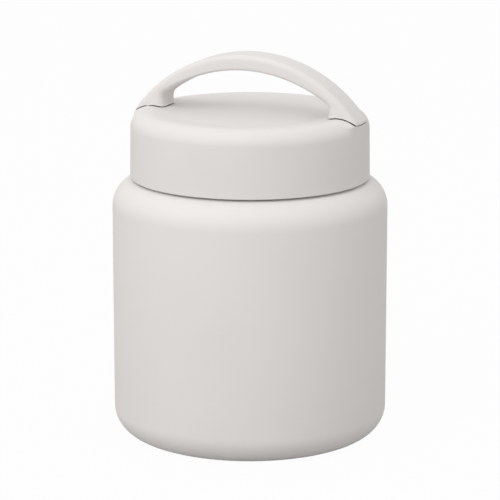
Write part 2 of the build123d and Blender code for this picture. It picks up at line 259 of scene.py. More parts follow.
def thread_rise(angle, height, low, high, width, turn_on):
    """How far a ridge stands out, from 0 to 1, at an angle and a height. turn_on shifts where it starts."""
    whole_turn = 2 * pi
    length = whole_turn * (high - low) / thread_lead
    best = 0.0
    for start in range(thread_starts):
        travel = (angle - turn_on - start * whole_turn / thread_starts) % whole_turn
        while travel < length:
            off_centre = abs(height - low - thread_lead * travel / whole_turn)
            if off_centre < width / 2:
                flank = 0.5 + 0.5 * cos(whole_turn * off_centre / width)
                fade = min(1.0, travel / thread_runout, (length - travel) / thread_runout)
                best = max(best, min(1.0, thread_crest * flank) * sin(fade * pi / 2) ** 2)
            travel += whole_turn
    return best


shell = half_section(
    [
        (collar_radius, collar_height, 0),
        (collar_radius, 0, foot_rounding),
        (body_radius, 0, base_rounding),
        (body_radius, shoulder_height, shoulder_rounding),
        (neck_radius, shoulder_height, neck_root_rounding),
        (neck_radius, neck_top, 0),
    ],
    closed=False,
)
neck_wall = edges_within(shell, (neck_radius, shoulder_height), (neck_radius, neck_top))
bmesh.ops.subdivide_edges(shell, edges=neck_wall, cuts=neck_cuts)
turn(shell)
for vert in shell.verts:
    radius = hypot(vert.co.x, vert.co.y)
    height = vert.co.z / mm
    if height > coat_edge:
        rise = thread_rise(atan2(vert.co.y, vert.co.x), height, thread_low, thread_high, thread_width, 0)
        vert.co.xy *= 1 + rise * thread_height * mm / radius
thicken(shell, shell_sheet)
jar_middle = Vector((0, 0, shell_middle)) * mm
for face in shell.faces:
    centre = face.calc_center_median()
    inside = face.normal.dot(centre - jar_middle) < 0 and centre.z > steel_from * mm
    face.material_index = 1 if centre.z > coat_edge * mm or inside else 0
make_piece(shell, "jar_shell", [coat, drawn_stainless], "jar", "coated_steel", "outer_shell")

# ---------------------------------------------------------------- inner vessel
# Deep-drawn stainless vessel for the food, polished inside. Its lip folds over the neck of the outer shell
# and is welded to it all round.

vessel_low, vessel_high = (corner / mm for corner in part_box("inner_vessel"))
vessel_radius = vessel_high.x
neck_inside = 33.6
inner_shoulder = 83.1
lip_sheet = vessel_high.z - neck_top
vessel_foot_rounding = 10.0
inner_shoulder_rounding = 5.0
inner_neck_rounding = 1.5
lip_rounding = 0.6

vessel = half_section(
    [
        (0, vessel_low.z, 0),
        (vessel_radius, vessel_low.z, vessel_foot_rounding),
        (vessel_radius, inner_shoulder, inner_shoulder_rounding),
        (neck_inside, inner_shoulder, inner_neck_rounding),
        (neck_inside, neck_top, lip_rounding),
        (neck_radius, neck_top, 0),
    ],
    closed=False,
)
turn(vessel)
thicken(vessel, -lip_sheet)
make_piece(vessel, "food_vessel", [drawn_stainless], "jar", "drawn_steel", "inner_vessel")

# ---------------------------------------------------------------- radiation foil
# Copper foil wrapped round the inner vessel before it goes into the shell. It turns radiant heat back across
# the vacuum, and is only as wide as the straight part of the wall.


def rolled_copper_foil():
    """Copper foil straight off the roll: bright metal, softly creased where it was wrapped by hand."""
    settings = {"Metallic": 1.0, "Base Color": linear("#C98263"), "Roughness": 0.3}
    material, shader, place = start_material("rolled_copper_foil", settings)
    creases = add_node(material, "TexNoise", {"Scale": 1 / (7 * mm), "Detail": 3.0}, {"Vector": place})
    finish_surface(material, shader, creases.outputs["Fac"], depth=0.25, rough_range=(0.22, 0.42))
    return material


foil_low, foil_high = (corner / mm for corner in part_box("radiation_foil"))
foil_inside = 40.55

foil = half_section(
    [
        (foil_inside, foil_low.z, 0),
        (foil_high.x, foil_low.z, 0),
        (foil_high.x, foil_high.z, 0),
        (foil_inside, foil_high.z, 0),
    ]
)
turn(foil)
make_piece(foil, "copper_radiation_foil", [rolled_copper_foil()], "jar", "copper_foil", "radiation_foil")

# ---------------------------------------------------------------- base plate
# Pressed stainless plate with a downturned rim, welded into the shell's collar. The dimple in the middle
# surrounds the small hole that the air is drawn out through.


def brushed_base_stainless():
    """Stainless sheet brushed on a lathe: duller than the vessel, with plain lines round the axis."""
    settings = {"Metallic": 1.0, "Base Color": linear("#BDBBB7"), "Roughness": 0.4}
    material, shader, place = start_material("brushed_base_stainless", settings)
    lines = turned_lines(material, place, spacing=0.25)
    finish_surface(material, shader, lines, depth=0.008, rough_range=(0.25, 0.55))
    return material


base_stainless = brushed_base_stainless()
plate_low, plate_high = (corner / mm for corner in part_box("shell_base"))
plate_height = 3.4
plate_top = plate_height + shell_sheet
dimple_height = plate_high.z - shell_sheet
rim_inside = plate_high.x - shell_sheet
port_radius = 1.0
dimple_inner = 3.5
dimple_outer = 4.2
dimple_rounding = 0.9
plate_rounding = 0.7

plate = half_section(
    [
        (port_radius, dimple_height, 0),
        (dimple_inner, dimple_height, dimple_rounding),
        (dimple_outer, plate_height, dimple_rounding),
        (rim_inside, plate_height, plate_rounding),
        (rim_inside, plate_low.z, 0),
    ],
    closed=False,
)
turn(plate)
thicken(plate, -shell_sheet)
make_piece(plate, "welded_base_plate", [base_stainless], "jar", "base_steel", "shell_base")

# ---------------------------------------------------------------- getter
# Pill of pressed and sintered getter alloy that takes up stray gas and so keeps the vacuum. It lies loose on
# the base plate, inside the vacuum.


def sintered_getter_alloy():
    """Sintered zirconium alloy powder: dark, dull and grainy."""
    settings = {"Metallic": 0.6, "Base Color": linear("#4B4B4E"), "Roughness": 0.75}
    material, shader, place = start_material("sintered_getter_alloy", settings)
    # the powder's grains are about 0.05 mm, and are drawn at 0.25 mm so that they show
    grains = add_node(material, "TexNoise", {"Scale": 1 / (0.25 * mm), "Detail": 3.0}, {"Vector": place})
    finish_surface(material, shader, grains.outputs["Fac"], depth=0.05, rough_range=(0.6, 0.85))
    return material


getter_offset = 15.0
getter_radius = 4.0
getter_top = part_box("getter")[1].z / mm
getter_rounding = 0.3
small_turn = ((360, 64),)  # coarser steps, enough for a piece of a few millimetres

getter = half_section(
    [
        (0, plate_top, 0),
        (getter_radius, plate_top, getter_rounding),
        (getter_radius, getter_top, getter_rounding),
        (0, getter_top, 0),
    ]
)
turn(getter, sectors=small_turn)
bmesh.ops.translate(getter, verts=getter.verts[:], vec=(getter_offset * mm, 0, 0))
make_piece(getter, "getter_pill", [sintered_getter_alloy()], "jar", "getter_alloy", "getter")

# ---------------------------------------------------------------- getter strap
# Thin stainless strap bent over the getter and spot-welded to the base plate at both feet.

strap_low, strap_high = (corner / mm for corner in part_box("getter_strap"))
strap_sheet = 0.3
bridge_half = 4.4
bridge_rounding = 0.45
strap_foot_rounding = 0.2
foot_top = strap_low.z + strap_sheet


def everything(bm):
    """All of a mesh, as the operators take it."""
    return bm.verts[:] + bm.edges[:] + bm.faces[:]


def verts_among(elements):
    """The vertices among the elements that an operator made."""
    return [element for element in elements if isinstance(element, bmesh.types.BMVert)]


strap = half_section(
    [
        (0, strap_high.z, 0),
        (bridge_half, strap_high.z, bridge_rounding),
        (bridge_half, foot_top, strap_foot_rounding),
        (strap_high.y, foot_top, 0),
    ],
    closed=False,
)
bmesh.ops.translate(strap, verts=strap.verts[:], vec=(0, (strap_low.x - getter_offset) * mm, 0))
grown = bmesh.ops.extrude_edge_only(strap, edges=strap.edges[:])
far = verts_among(grown["geom"])
bmesh.ops.translate(strap, verts=far, vec=(0, (strap_high.x - strap_low.x) * mm, 0))
bmesh.ops.mirror(strap, geom=everything(strap), axis="X", merge_dist=weld)
bmesh.ops.recalc_face_normals(strap, faces=strap.faces[:])
thicken(strap, strap_sheet)
bmesh.ops.rotate(strap, verts=strap.verts[:], cent=(0, 0, 0), matrix=Matrix.Rotation(pi / 2, 3, "Z"))
bmesh.ops.translate(strap, verts=strap.verts[:], vec=(getter_offset * mm, 0, 0))
make_piece(strap, "welded_getter_strap", [base_stainless], "jar", "base_steel", "getter_strap")

# ---------------------------------------------------------------- port seal
# Bead of solder glass that melts over the evacuation hole in the vacuum furnace, and runs a little way in.


def fused_solder_glass():
    """Solder glass melted in place: dark grey-green, glossy, with small bubbles."""
    settings = {"Base Color": linear("#5E6A66"), "Roughness": 0.08, "IOR": 1.6, "Transmission Weight": 0.35}
    material, shader, place = start_material("fused_solder_glass", settings)
    bubbles = add_node(material, "TexVoronoi", {"Scale": 1 / (0.5 * mm)}, {"Vector": place})
    finish_surface(material, shader, bubbles.outputs["Distance"], depth=0.02, rough_range=(0.05, 0.14))
    return material


bead_low, bead_high = (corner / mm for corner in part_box("port_seal"))
bead_top = dimple_height
stub_radius = 0.95
bead_rounding = 0.85

bead = half_section(
    [
        (0, bead_low.z, 0),
        (bead_high.y, bead_low.z, bead_rounding),
        (bead_high.y, bead_top, 0),
        (stub_radius, bead_top, 0),
        (stub_radius, bead_high.z, 0),
        (0, bead_high.z, 0),
    ]
)
turn(bead, sectors=small_turn)
make_piece(bead, "glass_port_seal", [fused_solder_glass()], "jar", "seal_glass", "port_seal")

# ---------------------------------------------------------------- base disc
# Pressed stainless cover disc, snapped in over the base plate and its seal: the face seen from below.

disc_low, disc_high = (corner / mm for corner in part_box("base_disc"))
disc_rounding = 0.9

disc = half_section(
    [
        (0, disc_low.z, 0),
        (disc_high.x, disc_low.z, disc_rounding),
        (disc_high.x, disc_high.z, 0),
    ],
    closed=False,
)
turn(disc)
thicken(disc, shell_sheet)
make_piece(disc, "base_cover_disc", [base_stainless], "jar", "base_steel", "base_disc")

# ---------------------------------------------------------------- lid cover
# Injection-moulded cover with a drafted side, a rounded rim and a shallow dish. Two pads grow out of the
# rim, one under each foot of the handle, and their flanks run out softly into the rounded rim.

plastic_tones = ("#DEDBD9", "#D9D6D3")  # as the coat, and a touch darker


def matte_moulded_plastic():
    """Polypropylene from a spark-eroded mould, in the body's colour: dull, with a very fine even grain."""
    material, shader, place = start_material("matte_moulded_plastic", {"Roughness": 0.73, "IOR": 1.49})
    cloud = add_node(material, "TexNoise", {"Scale": 1 / (22 * mm), "Detail": 2.0}, {"Vector": place})
    # the spark erosion leaves pits of about 0.1 mm, drawn at 0.4 mm so that they show
    settings = {"Scale": 1 / (0.4 * mm), "Detail": 2.0, "Roughness": 0.5}
    grain = add_node(material, "TexNoise", settings, {"Vector": place})
    mottle(material, shader, cloud.outputs["Fac"], plastic_tones)
    finish_surface(material, shader, grain.outputs["Fac"], depth=0.008, rough_range=(0.66, 0.8))
    return material


moulded_plastic = matte_moulded_plastic()

lid_gap = 0.35  # open joint between the cover and the body's shoulder
cover_low = shoulder_height + lid_gap
lid_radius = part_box("lid_cover")[1].x / mm
rim_height = 110.0
lid_draft = 0.3  # radius that the side loses between its lower edge and the rim
dish_height = 108.9
dish_inset = 6.5
dish_slope_run = 8.0
dish_rounding = 25.0
rim_inner_rounding = 6.0
rim_rounding = 5.5
cover_edge_rounding = 0.3
cover_wall = 2.2
cover_top_wall = 1.8
cover_inside_rounding = 2.5
ledge_height = 103.2
ledge_width = 1.0

handle_half_width = 6.0
leg_reach = 29.4  # axis to the inner face of each leg
leg_inner_rounding = 3.2  # of a leg's inner edges at the joint
seat_height = 110.1
seat_roll = 32.9  # where the flat seat starts to roll over
seat_edge = 107.7  # height at which it meets the lid's side
seat_fall = 0.5  # its inner end falls this much towards the dish
seat_fall_run = 3.2
socket_depth = 0.9  # the seat is sunk under the foot, inside a narrow lip
socket_lip = 0.05
socket_slope = 0.35
pad_run_out = 4.5  # width over which a pad dies away round the foot
pad_low = rim_height - 7.0  # the pads leave the cover as it is below this
pad_growth = 3.0  # the furthest that the skin is moved out to a pad
pad_halvings = 24  # of that growth, in the search for the pad's surface
pad_facing = 0.1  # skin that faces up and out by less than this stays where it is
pad_grain = 0.3  # width of the faces that shape the pads
rim_crown = 1.5  # depth of the rim's top, which is divided apart from its side
wall_margin = 0.3  # leaves the cover's inner wall out of what is divided
foot_sector = (30, 90)  # degrees and steps, fine over a foot
plain_sector = (150, 120)


def side_radius(height):
    """Radius of the lid's drafted side at a height, in millimetres."""
    return lid_radius - lid_draft * (height - cover_low) / (rim_height - cover_low)


def eased(share):
    """A share from 0 to 1 with a soft start and end."""
    held = min(1.0, max(0.0, share))
    return 0.5 - 0.5 * cos(pi * held)


def seat_top(reach):
    """Height of the seat at a distance from the axis: flat, then an arc down to the lid's side."""
    run = side_radius(seat_edge) - seat_roll
    drop = seat_height - seat_edge
    arc = (run**2 + drop**2) / (2 * drop)
    past = min(run, max(0.0, reach - seat_roll))
    fall = seat_fall * eased((leg_reach + seat_fall_run - reach) / seat_fall_run)
    return seat_height - fall - arc + sqrt(arc**2 - past**2)


def foot_margin(place):
    """Distance inside the foot's outline in plan, a strip with rounded inner corners; negative outside it."""
    along = leg_reach + leg_inner_rounding - abs(place.x)
    across = abs(place.y) - handle_half_width + leg_inner_rounding
    if along > 0 and across > 0:
        return leg_inner_rounding - hypot(along, across)
    return min(abs(place.x) - leg_reach, handle_half_width - abs(place.y))


def on_pad(place, outward):
    """Where a place of the skin goes, in millimetres: out to the pad, and down where the foot's socket is."""
    fade = eased(1 + min(0.0, foot_margin(place)) / pad_run_out)
    radial = outward.xy.dot(place.xy.normalized())
    if fade == 0 or place.z < pad_low or outward.z + radial < pad_facing:
        return place
    low, high = 0.0, pad_growth
    for _ in range(pad_halvings):
        middle = (low + high) / 2
        moved = place + outward * middle
        if moved.z < seat_top(abs(moved.x)) and hypot(moved.x, moved.y) < side_radius(moved.z):
            low = middle
        else:
            high = middle
    moved = place + outward * low * fade
    margin = min(foot_margin(moved), side_radius(moved.z) - hypot(moved.x, moved.y))
    moved.z -= socket_depth * eased((margin - socket_lip) / socket_slope)
    return moved


rim_inner = side_radius(rim_height) - dish_inset
dish_radius = rim_inner - dish_slope_run
cover_bore = lid_radius - cover_wall
cover = half_section(
    [
        (0, dish_height, 0),
        (dish_radius, dish_height, dish_rounding),
        (rim_inner, rim_height, rim_inner_rounding),
        (side_radius(rim_height), rim_height, rim_rounding),
        (lid_radius, cover_low, cover_edge_rounding),
        (cover_bore, cover_low, 0),
        (cover_bore, ledge_height, 0),
        (cover_bore - ledge_width, ledge_height, 0),
        (cover_bore - ledge_width, rim_height - cover_top_wall, cover_inside_rounding),
        (rim_inner, rim_height - cover_top_wall, 0),
        (dish_radius, dish_height - cover_top_wall, 0),
        (0, dish_height - cover_top_wall, 0),
    ]
)
pad_start = leg_reach - pad_run_out
crown_low = rim_height - rim_crown
dish_side = edges_within(cover, (pad_start, crown_low), (rim_inner, rim_height))
rim_top = edges_within(cover, (rim_inner, crown_low), (lid_radius, rim_height))
rim_side = edges_within(cover, (cover_bore + wall_margin, pad_low), (lid_radius, crown_low))
for edge in dish_side + rim_top + rim_side:
    steps = int(edge.calc_length() / (pad_grain * mm))
    if steps:
        bmesh.ops.subdivide_edges(cover, edges=[edge], cuts=steps)
turn(cover, sectors=(foot_sector, plain_sector) * 2)
for vert in cover.verts:
    vert.normal_update()
moves = [(vert, on_pad(vert.co / mm, vert.normal)) for vert in cover.verts]
for vert, place in moves:
    vert.co = place * mm
make_piece(cover, "lid_cover_moulding", [moulded_plastic], "lid", "lid_plastic", "lid_cover")

# ---------------------------------------------------------------- handle
# One moulded arch, screwed down on the two pads from inside the lid. Its outer edges are rounded more than
# its underside, and a fine open joint runs round each foot.

seam_gap = 0.36
crown_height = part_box("handle")[1].z / mm
handle_thickness = 5.1
leg_corner = 114.15  # where a leg's inner face would meet the underside's arc
leg_bend = 3.0
leg_root = 101.8  # the legs are carried on down to here, and cut off at the joint
arch_reach = 39.47
arch_side_drop = 1.25  # rim to where the outer arc is arch_reach from the axis
outer_edge_radius = 1.8
under_edge_radius = 0.9  # at the crown, growing to the leg's inner rounding at the joint
under_edge_power = 1.8  # above 1, the growth is slow at the crown and fast at the joint
flank_land = 0.3  # flat left on the flank between the two roundings
foot_flare = 0.3  # each leg's inner face runs out this much at the joint
foot_flare_rise = 1.8
outer_arc_steps = 60
under_arc_steps = 44
leg_bend_steps = 12
edge_steps = 8
square_on = 0.9999  # a normal with this much of Y or more belongs to a flank
face_margin = 0.05  # a place nearer to a face than this lies on it
foot_slice = 0.5  # spacing of the cuts along a foot, which let its end follow the rolled seat
foot_slices = 19
flare_slices = (0.3, 0.6, 0.9, 1.2, 1.5)  # heights above the joint
width_slices = (-2.4, -1.2, 0, 1.2, 2.4)


def arc_radius(reach, rise):
    """Radius of an arc with its crown on the axis that falls by rise at a distance from the axis."""
    return (reach**2 + rise**2) / (2 * rise)


def carry_arc(bm, vert, centre, end, steps):
    """Carries an outline on from a vertex along an arc about a centre in the XZ plane, to an end angle."""
    start = atan2(vert.co.z / mm - centre[1], vert.co.x / mm - centre[0])
    swept = bmesh.ops.spin(
        bm,
        geom=[vert],
        cent=Vector((centre[0], 0, centre[1])) * mm,
        axis=(0, -1, 0),
        angle=end - start,
        steps=steps,
        use_merge=False,
    )
    return verts_among(swept["geom_last"])[0]


def carry_line(bm, vert, reach, height):
    """Carries an outline on from a vertex along a straight line in the XZ plane."""
    end = bm.verts.new(Vector((reach, 0, height)) * mm)
    bm.edges.new((vert, end))
    return end


def widen(bm, half_width):
    """Makes the face of an outline in the XZ plane and extrudes it to both sides."""
    bmesh.ops.contextual_create(bm, geom=bm.edges[:])
    bmesh.ops.translate(bm, verts=bm.verts[:], vec=(0, -half_width * mm, 0))
    grown = bmesh.ops.extrude_face_region(bm, geom=bm.faces[:], use_keep_orig=True)
    far = verts_among(grown["geom"])
    bmesh.ops.translate(bm, verts=far, vec=(0, 2 * half_width * mm, 0))


def double_up(bm):
    """Mirrors a half that ends on the YZ plane, and joins the two halves."""
    middle = [face for face in bm.faces if all(abs(vert.co.x) < weld for vert in face.verts)]
    bmesh.ops.delete(bm, geom=middle, context="FACES")
    bmesh.ops.mirror(bm, geom=everything(bm), axis="X", merge_dist=weld)
    bmesh.ops.recalc_face_normals(bm, faces=bm.faces[:])


def slice_across(bm, axis, places):
    """Cuts the faces of a mesh into strips at places along an axis, in millimetres."""
    for place in places:
        point = axis * place * mm
        bmesh.ops.bisect_plane(bm, geom=everything(bm), dist=1e-5 * mm, plane_co=point, plane_no=axis)


outer_arc = arc_radius(arch_reach, crown_height - rim_height + arch_side_drop)
outer_centre = crown_height - outer_arc
under_crown = crown_height - handle_thickness
under_arc = arc_radius(leg_reach, under_crown - leg_corner)
under_centre = under_crown - under_arc
bend_x = leg_reach - leg_bend
bend_z = under_centre + sqrt((under_arc - leg_bend) ** 2 - bend_x**2)
root_x = sqrt(outer_arc**2 - (leg_root - outer_centre) ** 2)

handle = bmesh.new()
crown = handle.verts.new(Vector((0, 0, crown_height)) * mm)
root_angle = atan2(leg_root - outer_centre, root_x)
root_outer = carry_arc(handle, crown, (0, outer_centre), root_angle, outer_arc_steps)
under = carry_line(handle, crown, 0, under_crown)
haunch_angle = atan2(bend_z - under_centre, bend_x)
haunch = carry_arc(handle, under, (0, under_centre), haunch_angle, under_arc_steps)
leg_top = carry_arc(handle, haunch, (bend_x, bend_z), 0, leg_bend_steps)
root_inner = carry_line(handle, leg_top, leg_reach, leg_root)
handle.edges.new((root_inner, root_outer))
widen(handle, handle_half_width)
double_up(handle)


def flank_edges(bm, test):
    """Edges round the flanks of the handle whose middle passes a test of its place in millimetres."""
    return [
        edge
        for edge in bm.edges
        if len(edge.link_faces) == 2
        and sum(abs(face.normal.y) > square_on for face in edge.link_faces) == 1
        and test((edge.verts[0].co + edge.verts[1].co) / (2 * mm))
    ]


def on_outer_arc(place):
    """Whether a place lies on the handle's outer arc."""
    return abs(hypot(place.x, place.z - outer_centre) - outer_arc) < face_margin


def round_edges(bm, edges, radius):
    """Rounds edges of a solid by a radius in millimetres."""
    bmesh.ops.bevel(
        bm,
        geom=edges,
        offset=radius * mm,
        affect="EDGES",
        segments=edge_steps,
        profile=0.5,
        material=-1,
    )


def inside_depth(place):
    """Depth of a place below the handle's inner face, and the way out of it, in the XZ plane."""
    reach = abs(place.x)
    if place.z < bend_z:
        return reach - leg_reach, Vector((-1, 0, 0))
    on_arc = reach * (bend_z - under_centre) < bend_x * (place.z - under_centre)
    middle = Vector((0, 0, under_centre)) if on_arc else Vector((bend_x, 0, bend_z))
    radius = under_arc if on_arc else leg_bend
    ray = Vector((reach, 0, place.z)) - middle
    return ray.length - radius, -ray.normalized()


def on_inner_face(place):
    """Whether a place lies on the handle's inner face, above the legs' cut ends."""
    return abs(inside_depth(place)[0]) < face_margin and place.z > leg_root + slack


outer_edges = flank_edges(handle, on_outer_arc)
round_edges(handle, outer_edges, outer_edge_radius)
under_edges = flank_edges(handle, on_inner_face)
round_edges(handle, under_edges, under_edge_radius)
for vert in handle.verts:
    place = vert.co / mm
    depth, outward = inside_depth(place)
    from_flank = handle_half_width - abs(place.y)
    if depth < under_edge_radius + slack and from_flank < under_edge_radius + slack:
        fallen = min(1.0, max(0.0, (under_crown - place.z) / (under_crown - seat_height)))
        rounding = under_edge_radius + (leg_inner_rounding - under_edge_radius) * fallen**under_edge_power
        thickness = outer_arc - hypot(place.x, place.z - outer_centre) + depth
        rounding = min(rounding, thickness - outer_edge_radius - flank_land)
        growth = max(0.0, rounding / under_edge_radius - 1)
        outward.x = copysign(outward.x, outward.x * place.x)
        vert.co -= outward * depth * growth * mm
        vert.co.y -= copysign(from_flank * growth * mm, place.y)

# the joint follows the pad's rolled top, so the legs are cut with the joint laid flat and then put back
reaches = [leg_reach + foot_slice * (step + 1) for step in range(foot_slices)]
foot_places = [side * reach for side in (-1, 1) for reach in reaches]
slice_across(handle, Vector((1, 0, 0)), foot_places)
for vert in handle.verts:
    vert.co.z -= (seat_top(abs(vert.co.x) / mm) + seam_gap) * mm
cut = bmesh.ops.bisect_plane(
    handle,
    geom=everything(handle),
    plane_co=(0, 0, 0),
    plane_no=(0, 0, 1),
    clear_inner=True,
)
rim = [element for element in cut["geom_cut"] if isinstance(element, bmesh.types.BMEdge)]
bmesh.ops.holes_fill(handle, edges=rim, sides=0)
slice_across(handle, Vector((1, 0, 0)), foot_places)
slice_across(handle, Vector((0, 0, 1)), flare_slices)
slice_across(handle, Vector((0, 1, 0)), width_slices)
for vert in handle.verts:
    reach = abs(vert.co.x) / mm
    run = max(0.0, 1 - vert.co.z / mm / foot_flare_rise) ** 2
    inner = eased(1 - (reach - leg_reach) / leg_inner_rounding)
    vert.co.x -= copysign(foot_flare * run * inner * mm, vert.co.x)
    vert.co.z += (seat_top(reach) + seam_gap) * mm
for vert in handle.verts:
    over = hypot(vert.co.x, vert.co.y) / mm / side_radius(vert.co.z / mm)
    if over > 1:
        vert.co.xy /= over
bmesh.ops.recalc_face_normals(handle, faces=handle.faces[:])
make_piece(handle, "carry_handle", [moulded_plastic], "lid", "lid_plastic", "handle")

# ---------------------------------------------------------------- handle screws
# Two cold-headed screws, driven up through the bosses in the lid's rim into the handle's feet.


def cold_headed_stainless():
    """Cold-headed stainless wire: bright, with the fine marks of the die."""
    settings = {"Metallic": 1.0, "Base Color": linear("#BFBDB9"), "Roughness": 0.3}
    material, shader, place = start_material("cold_headed_stainless", settings)
    marks = add_node(material, "TexNoise", {"Scale": 1 / (0.3 * mm), "Detail": 3.0}, {"Vector": place})
    finish_surface(material, shader, marks.outputs["Fac"], depth=0.006, rough_range=(0.22, 0.4))
    return material


screw_low, screw_high = (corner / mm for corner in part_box("handle_screws"))
head_radius = screw_high.y
head_top = 106.4
head_rounding = 0.4
head_top_rounding = 0.3
head_cuts = 20
shaft_radius = 1.1
shaft_cuts = 60
screw_reach = screw_high.x - head_radius
screw_pitch = 0.9
screw_thread_depth = 0.28
screw_thread_start = 0.2  # above the head
screw_point = 1.2
point_radius = 0.2
recess_half_width = 0.25  # of each arm of the cross recess
recess_reach = 1.15
recess_depth = 0.8

screw = half_section(
    [
        (0, screw_low.z, 0),
        (head_radius, screw_low.z, head_rounding),
        (head_radius, head_top, head_top_rounding),
        (shaft_radius, head_top, 0),
        (shaft_radius, screw_high.z - screw_point, 0),
        (point_radius, screw_high.z, 0),
        (0, screw_high.z, 0),
    ]
)
head_face = edges_within(screw, (0, screw_low.z), (head_radius - head_rounding, screw_low.z))
bmesh.ops.subdivide_edges(screw, edges=head_face, cuts=head_cuts)
shaft = edges_within(screw, (shaft_radius, head_top), (shaft_radius, screw_high.z - screw_point))
bmesh.ops.subdivide_edges(screw, edges=shaft, cuts=shaft_cuts)
turn(screw, sectors=small_turn)
for vert in screw.verts:
    height = vert.co.z / mm
    radius = hypot(vert.co.x, vert.co.y) / mm
    if height > head_top + screw_thread_start and abs(radius - shaft_radius) < slack:
        crest = 0.5 + 0.5 * cos(2 * pi * height / screw_pitch - atan2(vert.co.y, vert.co.x))
        vert.co.xy *= 1 - screw_thread_depth * (1 - crest**2) / shaft_radius
    arm = min(abs(vert.co.x), abs(vert.co.y)) / mm
    if height < screw_low.z + slack and radius < recess_reach and arm < recess_half_width:
        vert.co.z += recess_depth * (1 - radius / (2 * recess_reach)) * mm
second = bmesh.ops.duplicate(screw, geom=everything(screw))
bmesh.ops.translate(screw, verts=screw.verts[:], vec=(screw_reach * mm, 0, 0))
bmesh.ops.translate(screw, verts=verts_among(second["geom"]), vec=(-2 * screw_reach * mm, 0, 0))
make_piece(screw, "foot_screws", [cold_headed_stainless()], "lid", "screw_steel", "handle_screws")

# ---------------------------------------------------------------- lid liner
# Injection-moulded liner, welded into the cover: a skirt with the inside of the two-start thread, a ceiling
# over the mouth, and a plug with the gasket's groove and the valve's hole.


def satin_moulded_liner():
    """Natural polypropylene from a polished mould: satin white, with faint flow marks."""
    settings = {"Base Color": linear("#EBEBE8"), "Roughness": 0.4, "IOR": 1.49}
    material, shader, place = start_material("satin_moulded_liner", settings)
    flow = add_node(material, "TexNoise", {"Scale": 1 / (5 * mm), "Detail": 4.0}, {"Vector": place})
    mottle(material, shader, flow.outputs["Fac"], ("#EDEDEA", "#E7E7E4"))
    finish_surface(material, shader, flow.outputs["Fac"], depth=0.01, rough_range=(0.32, 0.48))
    return material


liner_low, liner_high = (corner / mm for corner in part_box("lid_liner"))
liner_radius = liner_high.x
skirt_low = 89.3
liner_bore = 36.3
liner_thread_low = 91.0
liner_thread_high = 96.6
liner_cuts = 80
plug_radius = 32.1
plug_foot_radius = 31.7
plug_foot = liner_low.z
plug_floor = 86.4
plug_ceiling = 101.8
groove_radius = 30.3
groove_low = 86.2
groove_high = 88.8
waist_radius = 28.9
waist_height = 90.2
cup_radius = 30.7
valve_hole = 4.0
soft_edge = 0.45

liner = half_section(
    [
        (liner_radius, skirt_low, soft_edge),
        (liner_radius, liner_high.z, 0),
        (cup_radius, liner_high.z, 0),
        (cup_radius, waist_height, 0),
        (waist_radius, waist_height, 0),
        (waist_radius, plug_floor, 0),
        (valve_hole, plug_floor, 0),
        (valve_hole, plug_foot, 0),
        (plug_foot_radius, plug_foot, soft_edge),
        (plug_foot_radius, groove_low, 0),
        (groove_radius, groove_low, 0),
        (groove_radius, groove_high, 0),
        (plug_radius, groove_high, soft_edge),
        (plug_radius, plug_ceiling, soft_edge),
        (liner_bore, plug_ceiling, soft_edge),
        (liner_bore, skirt_low, soft_edge),
    ]
)
bore_wall = edges_within(liner, (liner_bore, skirt_low + soft_edge), (liner_bore, plug_ceiling - soft_edge))
bmesh.ops.subdivide_edges(liner, edges=bore_wall, cuts=liner_cuts)
turn(liner)
# the lid's ridges run half a pitch under the neck's, so that the closed lid's bear on them from below
drop = thread_lead / thread_starts / 2
liner_turn_on = 2 * pi * (liner_thread_low - thread_low + drop) / thread_lead
for vert in liner.verts:
    radius = hypot(vert.co.x, vert.co.y)
    height = vert.co.z / mm
    if abs(radius / mm - liner_bore) < slack:
        angle = atan2(vert.co.y, vert.co.x)
        rise = thread_rise(angle, height, liner_thread_low, liner_thread_high, thread_width, liner_turn_on)
        vert.co.xy *= 1 - rise * thread_height * mm / radius
make_piece(liner, "threaded_liner", [satin_moulded_liner()], "lid", "liner_plastic", "lid_liner")

# ---------------------------------------------------------------- lid insulation
# Rigid foam that fills the plug and the space up to the dish, hollowed over the valve's button.


def rigid_polyurethane_foam():
    """Poured polyurethane foam, skinless where it was cut: cream, dull, full of small cells."""
    settings = {"Base Color": linear("#EADFC0"), "Roughness": 0.9}
    material, shader, place = start_material("rigid_polyurethane_foam", settings)
    # the cells are about 0.3 mm, and are drawn at 0.6 mm so that they show
    cells = add_node(material, "TexVoronoi", {"Scale": 1 / (0.6 * mm)}, {"Vector": place})
    mottle(material, shader, cells.outputs["Distance"], ("#EFE5C8", "#DACDA8"))
    finish_surface(material, shader, cells.outputs["Distance"], depth=0.15, rough_range=(0.8, 0.95))
    return material


foam_low, foam_high = (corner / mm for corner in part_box("lid_insulation"))
pocket_radius = 5.7
pocket_top = 87.5
foam_waist_radius = 28.8
foam_step = 90.3
foam_top_radius = 30.0

foam = half_section(
    [
        (0, pocket_top, 0),
        (pocket_radius, pocket_top, 0),
        (pocket_radius, foam_low.z, 0),
        (foam_waist_radius, foam_low.z, 0),
        (foam_waist_radius, foam_step, 0),
        (foam_high.y, foam_step, 0),
        (foam_high.y, liner_high.z, 0),
        (foam_top_radius, liner_high.z, 0),
        (foam_top_radius, foam_high.z, 0),
        (0, foam_high.z, 0),
    ]
)
turn(foam, sectors=((360, 128),))
make_piece(foam, "foam_filling", [rigid_polyurethane_foam()], "lid", "foam", "lid_insulation")

# ---------------------------------------------------------------- lid gasket
# Silicone ring pressed into the plug's groove. Its two thin lips wipe the mouth and hold the seal.


